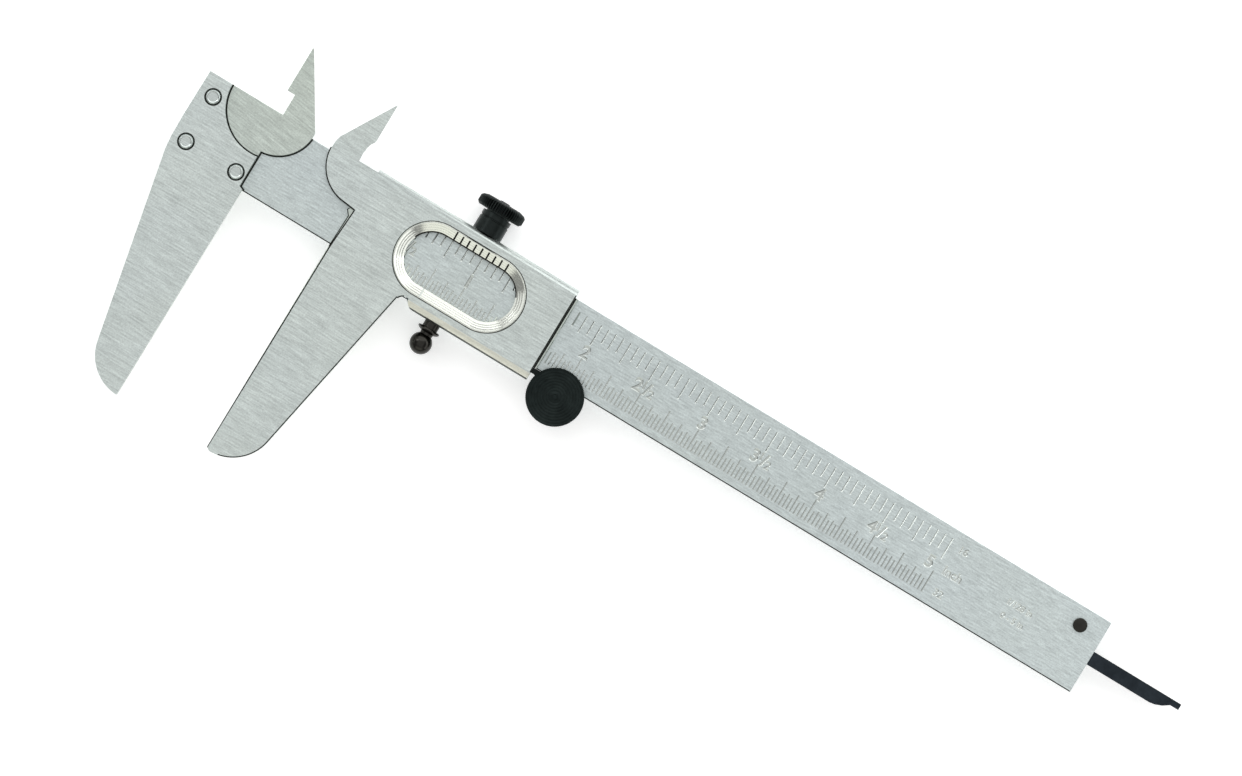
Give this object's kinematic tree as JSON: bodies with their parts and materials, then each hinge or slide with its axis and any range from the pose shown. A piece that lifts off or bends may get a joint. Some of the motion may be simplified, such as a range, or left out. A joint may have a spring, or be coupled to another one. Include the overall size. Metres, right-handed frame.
{
  "type": "vernier caliper",
  "caption": "Laminated steel vernier caliper with outside and inside jaws, depth rod, thumb roller, lock screw and inch scales.",
  "frame": {"origin": "on the back face of the head, in line with the fixed outside jaw's measuring face and the beam's centreline", "axes": "+X along the beam towards its free end, +Y across the beam towards the inside jaws, +Z out of the graduated front face"},
  "size_m": [0.2152, 0.074, 0.0094],
  "materials": {
    "beam_steel": "satin, fine grain along the beam",
    "plate_steel": "satin, brushed lengthwise",
    "bright_steel": "bright, lightly polished",
    "black_steel": "black oxide, semi-matt",
    "blued_steel": "dark blued spring steel",
    "brass": "plain"
  },
  "bodies": {
    "beam_and_head": {"beam": "beam_steel", "fixed_back_plate": "plate_steel", "fixed_inner_plate": "plate_steel", "fixed_outer_plate": "plate_steel", "head_rivet_1": "bright_steel", "head_rivet_2": "bright_steel", "head_rivet_3": "bright_steel", "stop_pin": "black_steel", "rod_keeper": "plate_steel"},
    "slider": {"slider_front": "plate_steel", "moving_inner_plate": "plate_steel", "slider_back": "plate_steel", "window_bezel": "bright_steel", "roller_arm": "black_steel", "gib_spring": "blued_steel", "finger_knob": "black_steel", "lock_bushing": "black_steel", "depth_rod": "blued_steel", "rod_rivet_1": "bright_steel", "rod_rivet_2": "bright_steel"},
    "roller": {"thumb_roller": "black_steel", "roller_axle": "bright_steel", "axle_clip": "blued_steel"},
    "lock_shoe": {"lock_shoe": "brass"},
    "lock_screw": {"lock_screw": "black_steel"}
  },
  "joints": [
    {"name": "slider_slide", "type": "slide", "parent": "beam_and_head", "child": "slider", "axis": [1, 0, 0], "range_m": [-0.01904, 0.1095]},
    {"name": "thumb_roller_spin", "type": "hinge", "parent": "slider", "child": "roller", "pos_m": [0.0695, -0.0102, 0.002], "axis": [0, 0, 1], "continuous": true},
    {"name": "lock_shoe_travel", "type": "slide", "parent": "slider", "child": "lock_shoe", "axis": [0, -1, 0], "range_m": [0, 0.00025]},
    {"name": "lock_screw_turn", "type": "hinge", "parent": "lock_shoe", "child": "lock_screw", "pos_m": [0.04295, 0.01, 0.003], "axis": [0, -1, 0], "range_deg": [0, 180]}
  ],
  "couplings": [
    {"joint": "thumb_roller_spin", "follows": "slider_slide", "rad_per_m": 370.37},
    {"joint": "lock_screw_turn", "follows": "lock_shoe_travel", "rad_per_m": 12566}
  ]
}
